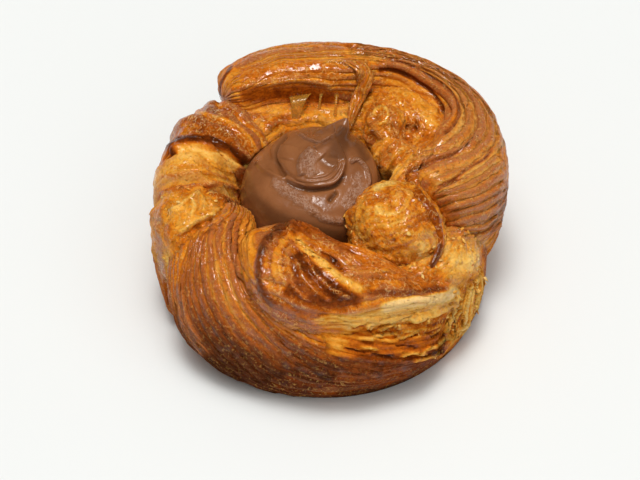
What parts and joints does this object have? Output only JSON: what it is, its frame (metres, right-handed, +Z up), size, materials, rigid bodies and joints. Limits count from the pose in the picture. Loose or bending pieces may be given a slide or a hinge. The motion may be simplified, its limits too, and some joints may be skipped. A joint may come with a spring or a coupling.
{
  "type": "cruffin",
  "caption": "Ring-shaped laminated pastry with twisted, ribbed golden folds and a piped dollop of chocolate cream filling its middle.",
  "frame": {"origin": "on the floor, under the middle of the dough ring, on the flat underside", "axes": "+Z up out of the well; the pictured front faces -Y and +X is to the right in the picture"},
  "size_m": [0.1045, 0.1106, 0.0545],
  "materials": {
    "crust": "syrup-glazed baked crust, brown on the crests and golden between the layers",
    "cream": "soft satin chocolate cream"
  },
  "bodies": {
    "root": {"pastry": "crust", "chocolate_cream": "cream"}
  },
  "joints": []
}
